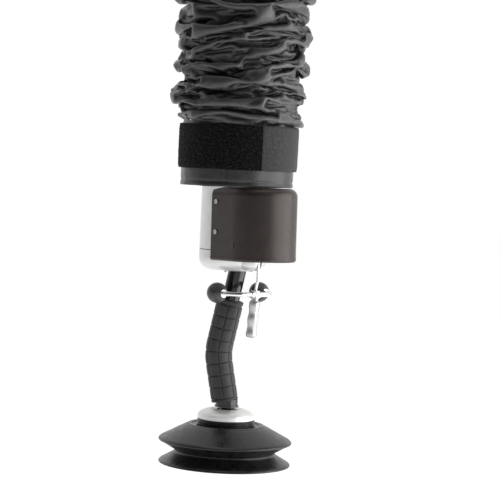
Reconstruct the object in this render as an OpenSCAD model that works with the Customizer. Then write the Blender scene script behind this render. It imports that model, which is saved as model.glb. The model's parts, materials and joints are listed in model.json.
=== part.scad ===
// Hanging vacuum tube lifter with a one-hand operator handle and a double-lip suction cup.
// The origin is the centre of the suspension eye. +X is the side of the valve cover and trigger.

/* [Lift tube] */
// Height of the lower cuff's bottom edge, measured down from the suspension eye
cuff_drop = 420; // [400:5:460]
// Outer radius of the cuff that is pulled over each hose flange
cuff_r = 78.5; // [76:0.5:80]
// Outer radius of the hook-and-loop strap around a cuff
strap_r = 83.3; // [82:0.1:86]
// Width of the hook-and-loop strap
strap_w = 61.3; // [50:0.1:64]
// Mean outer radius of the gathered dust sleeve
sleeve_r = 96; // [92:1:100]
// Number of folds that the plain sleeve shows between its straps
sleeve_folds = 9; // [6:1:12]

/* [Operator housing] */
// Outer radius of the housing tube
housing_r = 48; // [46:0.5:48]
// Depth of the housing tube below the cuff
housing_drop = 90; // [88:1:92]
// Depth of the bowl's bottom below the cuff
bowl_drop = 119; // [118:0.5:120]
// Radius of the bowl's bottom corner
bowl_corner = 17.5; // [14:0.5:18]

/* [Valve cover] */
// Width of the valve cover
cover_w = 100.8; // [100.8:0.2:104]
// Distance from the housing's axis to the tip of the cover's nose
cover_reach = 106.4; // [104:0.2:112]
// Radius of the rounded top edge
cover_top_r = 12; // [10:1:20]
// Wall thickness of the cover
cover_wall = 2; // [1.6:0.1:2]

/* [Control lever] */
// How far the trigger rod lies in front of the axis
yoke_x = 51; // [49:0.5:52]
// Distance from the middle to each ball knob
knob_y = 38.3; // [38:0.1:40]
// Radius of a ball knob
knob_r = 14.3; // [12:0.1:14.6]
// Radius of the yoke rod
yoke_rod_r = 3.5; // [3:0.1:3.6]
// Length of the finger trigger below the yoke
trigger_len = 54; // [48:1:56]

/* [Handle] */
// Outer radius of the handle tube
tube_r = 12.5; // [12:0.1:12.6]
// Outer radius of the rubber grip
grip_r = 19; // [17:0.5:19]
// How far each leg of the handle leans from the vertical, in degrees
handle_lean = 11.1; // [9:0.1:13]
// How far the plane of the handle's bend is turned from the cover's, in degrees
handle_turn = 38; // [0:1:45]

/* [Suction cup] */
// Outer radius of the upper lip
upper_lip_r = 94; // [90:0.5:96]
// Outer radius of the sealing lip
seal_lip_r = 93; // [90:0.5:96]

/* [Hidden] */

$fn = 96;
eps = 0.05; // running clearance, and how far a cut passes a face that it must clear

// Heights. level(d) turns a depth below the lower cuff's edge into a height.
function level(depth) = -cuff_drop - depth;

// Swivel head and its bearing, as heights below the eye
head_r = 52;
head_top = -22;
head_bottom = -70;
chamber_r = 37;
chamber_top = -28;
bearing_top = -58;
bearing_bottom = -70;
race_in = 30;
race_out = 45;
race_t = 4;
ball_pitch_r = (race_in + race_out) / 2;
bearing_ball_r = 4;
bearing_balls_n = 16;
retainer_t = 4;
head_screw_r = 48.5;
nipple_r = 19;
nipple_stub_r = 13;
nipple_z = -43;
nipple_tip = -112;
eye_bore_r = 8;
eye_r = 18;
eye_t = 14;
eye_shank_r = 8;

// Flanges, cuffs and straps
skirt_r = 77;
skirt_wall = 3;
flange_t = 6;
spigot_bore_r = 24;
spigot_flange_top = -77;
top_skirt_bottom = -141;
bottom_skirt_top = level(-90);
strap_gap_bottom = 21.7;
tab_start = -16.2;
tab_end = 75;

// Lift hose
hose_r = 70;
hose_wall = 1;
spring_r = 67;
spring_wire_r = 1.4;
spring_turns = 16;

// Housing
wall = 3;
gasket_t = 1;
boss_r = 18;
port_r = 15;
port_depth = 38;

// Valve and lever
cover_bottom = 102;
pivot_x = 55;
pivot_depth = 92;
pin_r = 2.5;
slot_half = 4;
arm_half = 3;
yoke_depth = 149.6;
yoke_corner = 22;
knob_x = 14.2;
wire_r = 2;
wire_x = 54.5;

// Handle. The tube bends once, at the vertex of its two leaning legs.
bend_r = 78;
vertex_x = -16;
vertex_depth = 237.1;
bend_x = vertex_x + bend_r / cos(handle_lean);
bend_tangent = bend_r * tan(handle_lean);
bend_lap = 0.4; // how far the bend reaches into each leg, in degrees
stub_r = 15.5;
stub_top = 301;
flange_depth = 309.3;

// Ball joint and cup
ball_depth = 324.3;
ball_r = 12;
seat_r = 16;
dome_r = 40;
dome_bottom = 330.8;
hub_r = 24;
hub_bore_r = 20;
web_top = 339.6;
web_bottom = 344.6;
plate_bottom = 348.6;
insert_screw_r = 33;

// ---------- Shared shapes ----------

// A ring or disc between two depths below the cuff
module ring(r_out, r_in, top, bottom) {
    translate([0, 0, level(bottom)]) tube(r_out, r_in, bottom - top);
}

module tube(r_out, r_in, h) {
    difference() {
        cylinder(r = r_out, h = h);
        translate([0, 0, -1]) cylinder(r = r_in, h = h + 2);
    }
}

// A cylinder from x0 to x1 along X
module x_cylinder(r, x0, x1) {
    translate([x0, 0, 0]) rotate([0, 90, 0]) cylinder(r = r, h = x1 - x0);
}

// A cylinder from y0 to y1 along Y
module y_cylinder(r, y0, y1) {
    translate([0, y0, 0]) rotate([-90, 0, 0]) cylinder(r = r, h = y1 - y0);
}

// A torus whose tube has radius t
module torus(r, t) {
    rotate_extrude() translate([r, 0]) circle(r = t, $fn = 24);
}

// A plain cheese-head screw that points down, with its head's underside at the origin
module screw(head_r, head_h, shank_r, shank_len) {
    difference() {
        cylinder(r = head_r, h = head_h);
        translate([0, 0, head_h / 2]) cylinder(r = head_r * 0.45, h = head_h, $fn = 6);
    }
    translate([0, 0, -shank_len]) cylinder(r = shank_r, h = shank_len);
}

// Points round a circle of radius r in the plane of the vectors u and v
function circle_at(p, u, v, r, sides) =
    [for (k = [0:sides - 1]) p + r * (cos(360 * k / sides) * u + sin(360 * k / sides) * v)];

function unit(v) = v / norm(v);

// The direction of a path at its point i
function heading(path, i) =
    unit(path[min(i + 1, len(path) - 1)] - path[max(i - 1, 0)]);

// A round wire swept along a path that never runs along the vector side
module wire(path, r, side, sides = 8) {
    n = len(path);
    rings = [for (i = [0:n - 1])
        let (u = unit(cross(side, heading(path, i))), v = cross(heading(path, i), u))
        each circle_at(path[i], u, v, r, sides)];
    walls = [for (i = [0:n - 2]) for (k = [0:sides - 1])
        let (a = i * sides + k, b = i * sides + (k + 1) % sides)
        [a, a + sides, b + sides, b]];
    start = [[for (k = [0:sides - 1]) k]];
    end = [[for (k = [sides - 1:-1:0]) (n - 1) * sides + k]];
    polyhedron(points = rings, faces = concat(walls, start, end), convexity = 10);
}

// ---------- Hanger: what the lifter hangs from ----------

module suspension_eye() {
    color("silver") difference() {
        union() {
            y_cylinder(eye_r, -eye_t / 2, eye_t / 2);
            translate([0, 0, chamber_top]) cylinder(r = eye_shank_r, h = -chamber_top - eye_bore_r - 4);
            translate([0, 0, head_top]) cylinder(r = 13, h = 5);
        }
        y_cylinder(eye_bore_r, -eye_t, eye_t);
    }
}

module swivel_head() {
    color("gainsboro") difference() {
        rotate_extrude() polygon([
            [0, head_top], [head_r - 8, head_top], [head_r, head_top - 8], [head_r, head_bottom],
            [race_out, head_bottom], [race_out, bearing_top], [chamber_r, bearing_top],
            [chamber_r, chamber_top], [0, chamber_top]
        ]);
        translate([0, 0, chamber_top - 1]) cylinder(r = eye_shank_r, h = 20);
        translate([0, 0, nipple_z]) x_cylinder(nipple_stub_r, -head_r - 1, -chamber_r + 4);
        head_screw_places() translate([0, 0, -1]) cylinder(r = 1.5, h = 14);
    }
}

module hose_nipple() {
    color("silver") translate([0, 0, nipple_z]) difference() {
        union() {
            x_cylinder(nipple_stub_r, -head_r - 7, -chamber_r + 3);
            x_cylinder(nipple_r, nipple_tip, -head_r - 5);
            x_cylinder(nipple_r + 5, -head_r - 7, -head_r + 8);
        }
        x_cylinder(nipple_stub_r - 3, -head_r - 8, 0);
        x_cylinder(nipple_r - 7, nipple_tip - 1, -head_r - 7);
        difference() {
            translate([0, 0, -100 - nipple_z]) cylinder(r = head_r, h = 200);
            x_cylinder(nipple_stub_r, -head_r - 1, 0);
        }
    }
}

module bearing_outer_ring() {
    color("lightgray") translate([0, 0, bearing_bottom]) difference() {
        tube(race_out, race_out - race_t, bearing_top - bearing_bottom);
        translate([0, 0, (bearing_top - bearing_bottom) / 2]) torus(ball_pitch_r, bearing_ball_r + eps);
    }
}

module bearing_inner_ring() {
    color("lightgray") translate([0, 0, bearing_bottom]) difference() {
        tube(race_in + race_t, race_in, bearing_top - bearing_bottom);
        translate([0, 0, (bearing_top - bearing_bottom) / 2]) torus(ball_pitch_r, bearing_ball_r + eps);
    }
}

module bearing_balls() {
    color("silver") for (k = [0:bearing_balls_n - 1])
        rotate(360 * k / bearing_balls_n)
            translate([ball_pitch_r, 0, (bearing_top + bearing_bottom) / 2])
                sphere(r = bearing_ball_r);
}

// Four screws clamp the retainer under the head
module head_screw_places() {
    for (k = [0:3])
        rotate(45 + 90 * k) translate([head_screw_r, 0, head_bottom]) children();
}

module bearing_retainer() {
    color("gainsboro") difference() {
        translate([0, 0, head_bottom - retainer_t]) tube(head_r, race_out - 6, retainer_t);
        head_screw_places() translate([0, 0, -retainer_t - 1]) cylinder(r = 1.5, h = retainer_t + 2);
    }
}

module head_screws() {
    color("silver") head_screw_places()
        translate([0, 0, -retainer_t]) mirror([0, 0, 1]) screw(3, 2.5, 1.5, 12);
}

module swivel_seal() {
    color("dimgray") translate([0, 0, head_bottom - retainer_t])
        tube(race_out - 6, race_in + eps, retainer_t - 0.5);
}

// ---------- Tube top: turns under the hanger ----------

module swivel_spigot() {
    color("gainsboro") rotate_extrude() polygon([
        [spigot_bore_r, bearing_top + 7], [race_in, bearing_top + 7],
        [race_in, head_bottom - retainer_t - 1], [race_in + 4, spigot_flange_top],
        [skirt_r, spigot_flange_top], [skirt_r, top_skirt_bottom],
        [skirt_r - skirt_wall, top_skirt_bottom], [skirt_r - skirt_wall, spigot_flange_top - flange_t],
        [spigot_bore_r, spigot_flange_top - flange_t]
    ]);
}

module bearing_nut() {
    color("silver") translate([0, 0, bearing_top]) difference() {
        cylinder(r = race_in + 4, h = 6);
        translate([0, 0, -1]) cylinder(r = race_in, h = 8);
    }
}

// A cuff of coated fabric, pulled over a flange's skirt
module cuff(top, bottom) {
    color([0.26, 0.26, 0.26]) translate([0, 0, bottom]) tube(cuff_r, skirt_r, top - bottom);
}

// The soft loop side goes nearly round; the webbing tab closes over the rest
module strap(bottom, from, to) {
    translate([0, 0, bottom]) rotate([0, 0, from])
        rotate_extrude(angle = to - from) translate([cuff_r, 0]) square([strap_r - cuff_r, strap_w]);
}

upper_strap_bottom = top_skirt_bottom + 2;

module upper_cuff() {
    cuff(spigot_flange_top, top_skirt_bottom - 2);
}

module upper_strap() {
    color([0.08, 0.08, 0.08]) strap(upper_strap_bottom, tab_end, 360 + tab_start);
}

module upper_strap_tab() {
    color([0.33, 0.33, 0.33]) strap(upper_strap_bottom, tab_start, tab_end);
}

sleeve_top = top_skirt_bottom - 2;
sleeve_bottom = level(-strap_gap_bottom - strap_w) + 0.5;
hose_top = top_skirt_bottom - 1;
hose_bottom = bottom_skirt_top + 1;

module lift_hose() {
    color([0.2, 0.2, 0.2]) translate([0, 0, hose_bottom]) tube(hose_r, hose_r - hose_wall, hose_top - hose_bottom);
}

module hose_spring() {
    steps = 24;
    rise = (hose_top - hose_bottom - 4) / spring_turns;
    path = [for (i = [0:spring_turns * steps])
        [spring_r * cos(360 * i / steps), spring_r * sin(360 * i / steps), hose_bottom + 2 + rise * i / steps]];
    color("gray") wire(path, spring_wire_r, [0, 0, 1], 6);
}

// The gathered sleeve as one plain wavy sock
module dust_sleeve() {
    h = sleeve_top - sleeve_bottom;
    steps = sleeve_folds * 6;
    outer = [for (i = [0:steps])
        let (end = sin(180 * i / steps))
        [sleeve_r - 9 * (1 - pow(end, 0.3)) - 3.5 * (1 - cos(360 * i / 6)), sleeve_bottom + h * i / steps]];
    color([0.25, 0.25, 0.26]) rotate_extrude() polygon(concat(
        outer, [[cuff_r + 0.5, sleeve_top], [cuff_r + 0.5, sleeve_bottom]]
    ));
}

// ---------- Operator unit ----------

module hose_flange() {
    color("gainsboro") rotate_extrude() polygon([
        [housing_r, level(-20)], [housing_r + 5, level(-20)], [housing_r + 5, level(-8)],
        [skirt_r - skirt_wall, level(-8)], [skirt_r - skirt_wall, bottom_skirt_top],
        [skirt_r, bottom_skirt_top], [skirt_r, level(-2)], [housing_r, level(-2)]
    ]);
}

module lower_cuff() {
    cuff(level(-strap_gap_bottom - strap_w) + 2, level(0));
}

module lower_strap() {
    color([0.08, 0.08, 0.08]) strap(level(-strap_gap_bottom), tab_end, 360 + tab_start);
}

module lower_strap_tab() {
    color([0.33, 0.33, 0.33]) strap(level(-strap_gap_bottom), tab_start, tab_end);
}

// The side screws of the cover, as places with Y pointing outward
module cover_screw_places() {
    cover_frame() for (side = [-1, 1], depth = [21, 62.8])
        translate([21, side * cover_w / 2, level(depth)]) rotate([side * -90, 0, 0]) children();
}

module housing_tube() {
    color([0.75, 0.75, 0.76]) difference() {
        ring(housing_r, housing_r - wall, -30, housing_drop);
        translate([0, 0, level(port_depth)]) x_cylinder(port_r, 20, 60);
        cover_screw_places() translate([0, 0, -20]) cylinder(r = 1.5, h = 20);
    }
}

// The bowl's outside, which can be grown a little to clear it from a neighbour
module bowl_outside(grow = 0) {
    top = level(housing_drop + gasket_t);
    bottom = level(bowl_drop) - grow;
    r = housing_r + grow;
    c = bowl_corner;
    rotate_extrude() {
        translate([0, bottom]) square([r - c, top - bottom]);
        translate([0, bottom + c]) square([r, top - bottom - c]);
        intersection() {
            translate([r - c, bottom + c]) circle(r = c);
            translate([0, bottom]) square([r, c]);
        }
    }
}

module bowl_inside() {
    c = bowl_corner - wall;
    top = level(housing_drop - 8);
    bottom = level(bowl_drop - wall);
    r = housing_r - wall * 2;
    rotate_extrude() {
        translate([0, bottom]) square([r - c, top - bottom + 1]);
        translate([0, bottom + c]) square([r, top - bottom - c + 1]);
        intersection() {
            translate([r - c, bottom + c]) circle(r = c);
            translate([0, bottom]) square([r, c]);
        }
    }
}

// The three screws under the bowl
module bowl_screw_places() {
    for (angle = [60, 180, 300])
        rotate(angle) translate([angle == 180 ? 16 : 27, 0, level(bowl_drop)]) mirror([0, 0, 1]) children();
}

module bowl() {
    color([0.8, 0.8, 0.8]) difference() {
        union() {
            difference() {
                union() {
                    bowl_outside();
                    ring(housing_r - wall, housing_r - wall - 4, housing_drop - 8, housing_drop + 4);
                }
                bowl_inside();
            }
            intersection() {
                bowl_outside();
                leg_at(1, 100) cylinder(r = boss_r, h = 40);
            }
        }
        tube_bore();
        bowl_screw_places() translate([0, 0, -12]) cylinder(r = 1.5, h = 13);
        set_screw_place() cylinder(r = 2, h = 12);
    }
}

module bowl_gasket() {
    color("black") ring(housing_r - 0.6, housing_r - wall, housing_drop, housing_drop + gasket_t);
}

module bowl_screws() {
    color("silver") bowl_screw_places() screw(2.6, 2, 1.5, 11);
}

// The valve block carries the lever's pin between two cheeks. Its lower end is a rounded pod.
module valve_block() {
    pod_x = 37;
    pod_r = 21;
    pod_bottom = 117;
    pod_corner = 12;
    pod_top = 98;
    bridge_bottom = 84;
    bridge_front = 56;
    color([0.85, 0.85, 0.85]) difference() {
        union() {
            translate([pod_x, 0, level(pod_bottom)]) rotate_extrude() {
                translate([0, pod_corner]) square([pod_r, pod_bottom - pod_top - pod_corner]);
                square([pod_r - pod_corner, pod_corner]);
                intersection() {
                    translate([pod_r - pod_corner, pod_corner]) circle(r = pod_corner);
                    square([pod_r, pod_corner]);
                }
            }
            translate([pod_x, -14, level(99)]) cube([62 - pod_x, 28, 35]);
        }
        ring(housing_r + 0.02, 0, 0, housing_drop + gasket_t);
        bowl_outside(0.02);
        translate([38, -slot_half, level(130)]) cube([40, 2 * slot_half, 130 - bridge_bottom]);
        translate([bridge_front, -slot_half, level(130)]) cube([40, 2 * slot_half, 80]);
        translate([pivot_x, 0, level(pivot_depth)]) y_cylinder(pin_r, -30, 30);
    }
}

module valve_seat() {
    color("gold") difference() {
        union() {
            difference() {
                translate([0, 0, level(port_depth)]) x_cylinder(18, 40, 54);
                ring(housing_r, 0, -30, housing_drop);
            }
            intersection() {
                translate([0, 0, level(port_depth)]) x_cylinder(port_r, 42, 50);
                ring(housing_r, housing_r - wall, -30, housing_drop);
            }
        }
        translate([0, 0, level(port_depth)]) x_cylinder(11, 30, 60);
    }
}

module pivot_pin() {
    color("silver") translate([pivot_x, 0, level(pivot_depth)]) {
        y_cylinder(pin_r, -14, 22);
        y_cylinder(pin_r + 1.5, 22, 23.5);
    }
}

// Torsion spring on the pin's long end: one leg lies on the block, the other points up
module return_spring() {
    coil_r = pin_r + 1.3;
    steps = 16;
    turns = 4;
    coil = [for (i = [0:turns * steps])
        [coil_r * cos(360 * i / steps), 15.2 + 5.6 * i / (turns * steps), coil_r * sin(360 * i / steps)]];
    path = concat([[coil_r, 15.2, -14], [coil_r, 15.2, -4]], coil, [[coil_r, 20.8, 4], [coil_r, 20.8, 14]]);
    color("gray") translate([pivot_x, 0, level(pivot_depth)]) wire(path, 0.6, [0, 1, 0.001], 6);
}

// The cover hangs a little out of true. It turns about the lower tip of its nose.
module cover_frame() {
    translate([cover_reach, 0, level(cover_bottom)]) rotate([0, -1.4, 0])
        translate([-cover_reach, 0, -level(cover_bottom)]) children();
}

// Half of the cover's outline seen from the front, with its two outer corners rounded
module cover_outline(inset) {
    half = cover_w / 2 - inset;
    top = level(0.5) - inset;
    bottom = level(cover_bottom) + inset;
    top_r = cover_top_r - inset;
    low_r = 3 - inset;
    translate([0, bottom + low_r]) square([half, top - bottom - low_r - top_r]);
    translate([0, bottom]) square([half - low_r, low_r + 1]);
    translate([0, top - top_r - 1]) square([half - top_r, top_r + 1]);
    intersection() {
        translate([half - low_r, bottom + low_r]) circle(r = low_r);
        translate([0, bottom]) square([half, low_r]);
    }
    intersection() {
        translate([half - top_r, top - top_r]) circle(r = top_r);
        translate([0, top - top_r]) square([half, top_r]);
    }
}

// The outside of the cover, moved in by the inset: straight sides and a round nose
module cover_solid(inset, back) {
    nose_x = cover_reach - cover_w / 2;
    translate([nose_x, 0, 0]) rotate_extrude() cover_outline(inset + eps);
    translate([back, 0, 0]) rotate([90, 0, 90]) linear_extrude(nose_x - back) {
        cover_outline(inset);
        mirror([1, 0]) cover_outline(inset);
    }
}

// The cover is open towards the housing and has a slot below for the arm. A raised bead runs
// round its lower edge, and a blank bar stands on each side.
module valve_cover() {
    rear_x = 10.8;
    bead = 0.5;
    color([0.2, 0.18, 0.17]) difference() {
        union() {
            cover_frame() difference() {
                union() {
                    cover_solid(0, rear_x);
                    intersection() {
                        cover_solid(-bead, rear_x);
                        ring(150, 0, 96.8, 98.2);
                    }
                }
                cover_solid(cover_wall, rear_x - 5);
                translate([-60, -60, level(110)]) cube([60 + rear_x, 120, 120]);
            }
            cover_frame() for (side = [-1, 1])
                translate([22, side * cover_w / 2 - bead, level(84.5)]) cube([38, 2 * bead, 9]);
            cover_screw_places() translate([0, 0, -10]) cylinder(r = 5, h = 9);
        }
        ring(housing_r + eps, 0, -30, 130);
        translate([0, -25, level(112)]) cube([70, 50, 22]);
        cover_screw_places() translate([0, 0, -20]) cylinder(r = 1.5, h = 22);
    }
}

module cover_screws() {
    color("silver") cover_screw_places() screw(3.2, 1.6, 1.5, 9);
}

// ---------- Handle ----------

// Places a child's +Z along one leg of the handle, from the given depth down. Leg 1 is the
// upper leg and leg 2 the lower one.
module leg_at(leg, depth) {
    lean = leg == 1 ? handle_lean : -handle_lean;
    x = vertex_x + (vertex_depth - depth) * tan(lean);
    rotate(handle_turn) translate([x, 0, level(depth)]) rotate([0, 180 + lean, 0]) children();
}

// A pipe along the handle's centre line, between two depths on either side of its bend
module bent_pipe(r_out, r_in, top, bottom) {
    cut_depth = bend_tangent * cos(handle_lean);
    leg_at(1, top) tube(r_out, r_in, (vertex_depth - cut_depth - top) / cos(handle_lean));
    rotate(handle_turn) translate([bend_x, 0, level(vertex_depth)]) rotate([90, 0, 0])
        rotate([0, 0, 180 - handle_lean - bend_lap]) rotate_extrude(angle = 2 * (handle_lean + bend_lap))
            translate([bend_r, 0]) difference() {
                circle(r = r_out - eps);
                circle(r = r_in + eps);
            }
    leg_at(2, vertex_depth + cut_depth)
        tube(r_out, r_in, (bottom - vertex_depth - cut_depth) / cos(handle_lean));
}

module handle_tube() {
    color([0.05, 0.05, 0.05]) difference() {
        bent_pipe(tube_r, tube_r - 2.5, 100, 310);
        translate([-50, -50, level(stub_top + 40)]) cube([100, 100, 40]);
    }
}

// The straight bore that the handle tube's upper end fills
module tube_bore() {
    leg_at(1, 80) cylinder(r = tube_r, h = 60);
}

module set_screw_place() {
    rotate(handle_turn) translate([0, 0, level(108)]) rotate([0, -90, 0]) children();
}

module tube_set_screw() {
    color("silver") difference() {
        set_screw_place() translate([0, 0, 3]) cylinder(r = 2, h = 6);
        tube_bore();
    }
}

module grip_sleeve() {
    color([0.22, 0.22, 0.22]) difference() {
        bent_pipe(grip_r, tube_r, 164, 306.5);
        ring(stub_r + eps, 0, stub_top - eps, 320);
    }
}

// The end piece closes the tube with a stub and a flange, and its ball carries the cup
module ball_stem() {
    color([0.06, 0.06, 0.06]) difference() {
        union() {
            ring(stub_r, 0, stub_top, flange_depth + 1);
            ring(17, 0, flange_depth, flange_depth + 2.6);
            ring(7, 0, flange_depth + 2, ball_depth);
            translate([0, 0, level(ball_depth)]) sphere(r = ball_r);
        }
        ring(4.5, 0, stub_top - 1, ball_depth + ball_r + 1);
    }
}

// ---------- Control lever ----------

module control_arm() {
    flap_x = 60;
    color("silver") difference() {
        union() {
            translate([pivot_x, 0, level(pivot_depth)]) y_cylinder(5.5, -arm_half, arm_half);
            translate([flap_x, -arm_half, level(pivot_depth)]) cube([3.5, 2 * arm_half, pivot_depth - port_depth]);
            translate([pivot_x, -arm_half, level(pivot_depth + 4)]) cube([flap_x - pivot_x + 3.5, 2 * arm_half, 8]);
            translate([wire_x, 0, level(131)]) cylinder(r = wire_r, h = 131 - pivot_depth);
            translate([wire_x, 0, level(131)]) sphere(r = wire_r + eps);
            translate([yoke_x, 0, level(144)]) rotate([0, atan((wire_x - yoke_x) / 13), 0])
                cylinder(r = wire_r, h = norm([wire_x - yoke_x, 13]));
            translate([yoke_x, 0, level(144)]) sphere(r = wire_r + eps);
            translate([yoke_x, 0, level(yoke_depth - yoke_rod_r - 0.1)])
                cylinder(r = wire_r, h = yoke_depth - yoke_rod_r - 144.1);
        }
        translate([pivot_x, 0, level(pivot_depth)]) y_cylinder(pin_r + eps, -10, 10);
    }
}

module valve_flap() {
    color("gray") translate([0, 0, level(port_depth)]) x_cylinder(17, 57, 60);
}

module flap_seal() {
    color("dimgray") translate([0, 0, level(port_depth)]) x_cylinder(16, 54 + eps, 57);
}

module yoke_rod() {
    corner_x = yoke_x - yoke_corner;
    corner_y = knob_y - yoke_corner;
    color("whitesmoke") translate([0, 0, level(yoke_depth)]) {
        translate([yoke_x, 0, 0]) y_cylinder(yoke_rod_r, -corner_y, corner_y);
        for (side = [-1, 1]) {
            translate([0, side * knob_y, 0]) x_cylinder(yoke_rod_r, knob_x, corner_x);
            translate([corner_x, side * corner_y, 0]) rotate([0, 0, side > 0 ? 0 : -90])
                rotate_extrude(angle = 90) translate([yoke_corner, 0]) circle(r = yoke_rod_r);
        }
    }
}

module lever_hub() {
    color("whitesmoke") difference() {
        union() {
            translate([yoke_x, 0, level(154.5)]) cylinder(r = 6, h = 10.3);
            translate([yoke_x, 0, level(yoke_depth)]) y_cylinder(4.8, -7.5, 7.5);
        }
        translate([yoke_x, 0, level(yoke_depth)]) y_cylinder(yoke_rod_r, -20, 20);
        translate([yoke_x, 0, level(yoke_depth - yoke_rod_r + 0.1)]) cylinder(r = wire_r + 2 * eps, h = 20);
    }
}

module knob_ferrules() {
    color("silver") for (side = [-1, 1])
        translate([0, side * knob_y, level(yoke_depth)]) difference() {
            x_cylinder(5.5, 24, knob_x + knob_r + 0.8);
            x_cylinder(yoke_rod_r + eps, 20, 40);
        }
}

// A ball turned about the rod's axis, with a bore for the rod and a counterbore for its ferrule
module ball_knob(side) {
    color([0.15, 0.15, 0.15]) translate([knob_x, side * knob_y, level(yoke_depth)]) rotate([0, 90, 0])
        rotate_extrude() difference() {
            intersection() {
                circle(r = knob_r);
                translate([0, -knob_r]) square([knob_r, 2 * knob_r]);
            }
            translate([0, -eps]) square([yoke_rod_r + eps, knob_r + 1]);
            translate([0, 24 - knob_x - eps]) square([5.5 + eps, knob_r]);
        }
}

module ball_knob_left() {
    ball_knob(1);
}

module ball_knob_right() {
    ball_knob(-1);
}

// A ribbed finger grip: three swells along a turned rod
module trigger_grip() {
    swell_pitch = 20.5;
    steps = 30;
    profile = [for (i = [0:steps])
        let (s = 4 + (trigger_len - 4) * i / steps)
        [6.9 + 0.65 * cos(360 * (s - 9.5) / swell_pitch), -s]];
    color("whitesmoke") difference() {
        translate([yoke_x, 0, level(154.5)]) rotate([0, 5.5, 0]) rotate_extrude() polygon(concat(
            [[0, 1], [4.4, 1], [4.4, -3], [5.6, -4]], profile, [[5.4, -trigger_len - 1], [0, -trigger_len - 1]]
        ));
        translate([yoke_x - 10, -10, level(154.5)]) cube(20);
    }
}

// ---------- Ball joint and suction cup ----------

// The liner lets the cup lean sideways on the ball
module ball_seat() {
    half = 7;
    color("ivory") translate([0, 0, level(ball_depth)]) difference() {
        intersection() {
            sphere(r = seat_r);
            translate([0, 0, -half]) cylinder(r = seat_r + 1, h = 2 * half);
        }
        sphere(r = ball_r + eps);
    }
}

module dome_cap() {
    pocket_bottom = ball_depth + 2;
    color([0.72, 0.71, 0.7]) difference() {
        translate([0, 0, level(0)]) rotate_extrude() polygon([
            [0, -314.9], [17, -314.9], [24, -315.4], [31.5, -316.9], [36, -318.9], [38.8, -321.3],
            [40, -323.8], [dome_r, -dome_bottom], [28, -dome_bottom], [28, -pocket_bottom], [0, -pocket_bottom]
        ]);
        translate([0, 0, level(ball_depth)]) sphere(r = seat_r + eps);
    }
}

// Screwed up into the dome, the hub holds the liner and is the axle that the cup turns on
module swivel_hub() {
    color("silver") difference() {
        union() {
            ring(28, 0, ball_depth + 2, dome_bottom);
            ring(hub_r, 0, dome_bottom, plate_bottom + 4);
        }
        translate([0, 0, level(ball_depth)]) sphere(r = seat_r + eps);
        ring(hub_bore_r - 6, 0, ball_depth, 343);
        ring(hub_bore_r, 0, 341.3, 360);
    }
}

module hub_nut() {
    color("silver") ring(30, hub_r, plate_bottom + 0.3, plate_bottom + 4);
}

module filter_sieve() {
    color("silver") difference() {
        ring(hub_bore_r, 0, plate_bottom + 1, plate_bottom + 2.2);
        for (row = [1:3], k = [0:row * 6 - 1])
            rotate(60 * k / row) translate([row * 5.6, 0, level(plate_bottom + 3)]) cylinder(r = 1.6, h = 4);
    }
}

module cup_collar() {
    color([0.1, 0.1, 0.1]) difference() {
        union() {
            ring(dome_r, 0, dome_bottom + 0.3, web_top);
            for (depth = [333.1, 336.4])
                translate([0, 0, level(depth)]) torus(dome_r, 0.7);
        }
        ring(hub_r + eps, 0, 325, 355);
        insert_screw_places() translate([0, 0, -16]) cylinder(r = 1.5, h = 13);
    }
}

module suction_cup() {
    color([0.12, 0.12, 0.12]) difference() {
        translate([0, 0, level(0)]) rotate_extrude() polygon([
            [hub_r + 2, -web_top], [48.5, -web_top], [50.5, -337.8], [54, -338],
            [upper_lip_r - 2, -358.8], [upper_lip_r, -360.8], [upper_lip_r - 0.4, -362.4], [upper_lip_r - 3, -363.4],
            [72, -374], [70.5, -376.1], [72, -378.2],
            [seal_lip_r - 1.6, -389.4], [seal_lip_r, -391.4], [seal_lip_r - 1.2, -392.6], [seal_lip_r - 4, -391],
            [67.5, -380], [66, -376.1], [67.5, -372],
            [84, -363.8], [86, -361.8], [84, -359.4],
            [54, -web_bottom + 0.4], [51, -web_bottom], [hub_r + 2, -web_bottom]
        ]);
        insert_screw_places() translate([0, 0, -12]) cylinder(r = 1.5, h = 20);
    }
}

module insert_screw_places() {
    for (k = [0:5])
        rotate(60 * k) translate([insert_screw_r, 0, level(plate_bottom)]) mirror([0, 0, 1]) children();
}

module insert_plate() {
    color("silver") difference() {
        ring(46, hub_r + 2, web_bottom, plate_bottom);
        insert_screw_places() translate([0, 0, -6]) cylinder(r = 1.5, h = 8);
    }
}

module insert_screws() {
    color("silver") insert_screw_places() screw(2.8, 2, 1.5, 13);
}

suspension_eye();
swivel_head();
hose_nipple();
bearing_outer_ring();
bearing_balls();
bearing_retainer();
head_screws();
swivel_seal();
swivel_spigot();
bearing_inner_ring();
bearing_nut();
upper_cuff();
upper_strap();
upper_strap_tab();
lift_hose();
hose_spring();
dust_sleeve();
hose_flange();
lower_cuff();
lower_strap();
lower_strap_tab();
housing_tube();
bowl();
bowl_gasket();
bowl_screws();
valve_block();
valve_seat();
pivot_pin();
return_spring();
valve_cover();
cover_screws();
handle_tube();
tube_set_screw();
grip_sleeve();
ball_stem();
control_arm();
valve_flap();
flap_seal();
yoke_rod();
lever_hub();
knob_ferrules();
ball_knob_left();
ball_knob_right();
trigger_grip();
ball_seat();
dome_cap();
swivel_hub();
hub_nut();
filter_sieve();
cup_collar();
suction_cup();
insert_plate();
insert_screws();
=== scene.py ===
import json
import math

import bpy
import numpy as np
from mathutils import Matrix, Vector, noise


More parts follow.
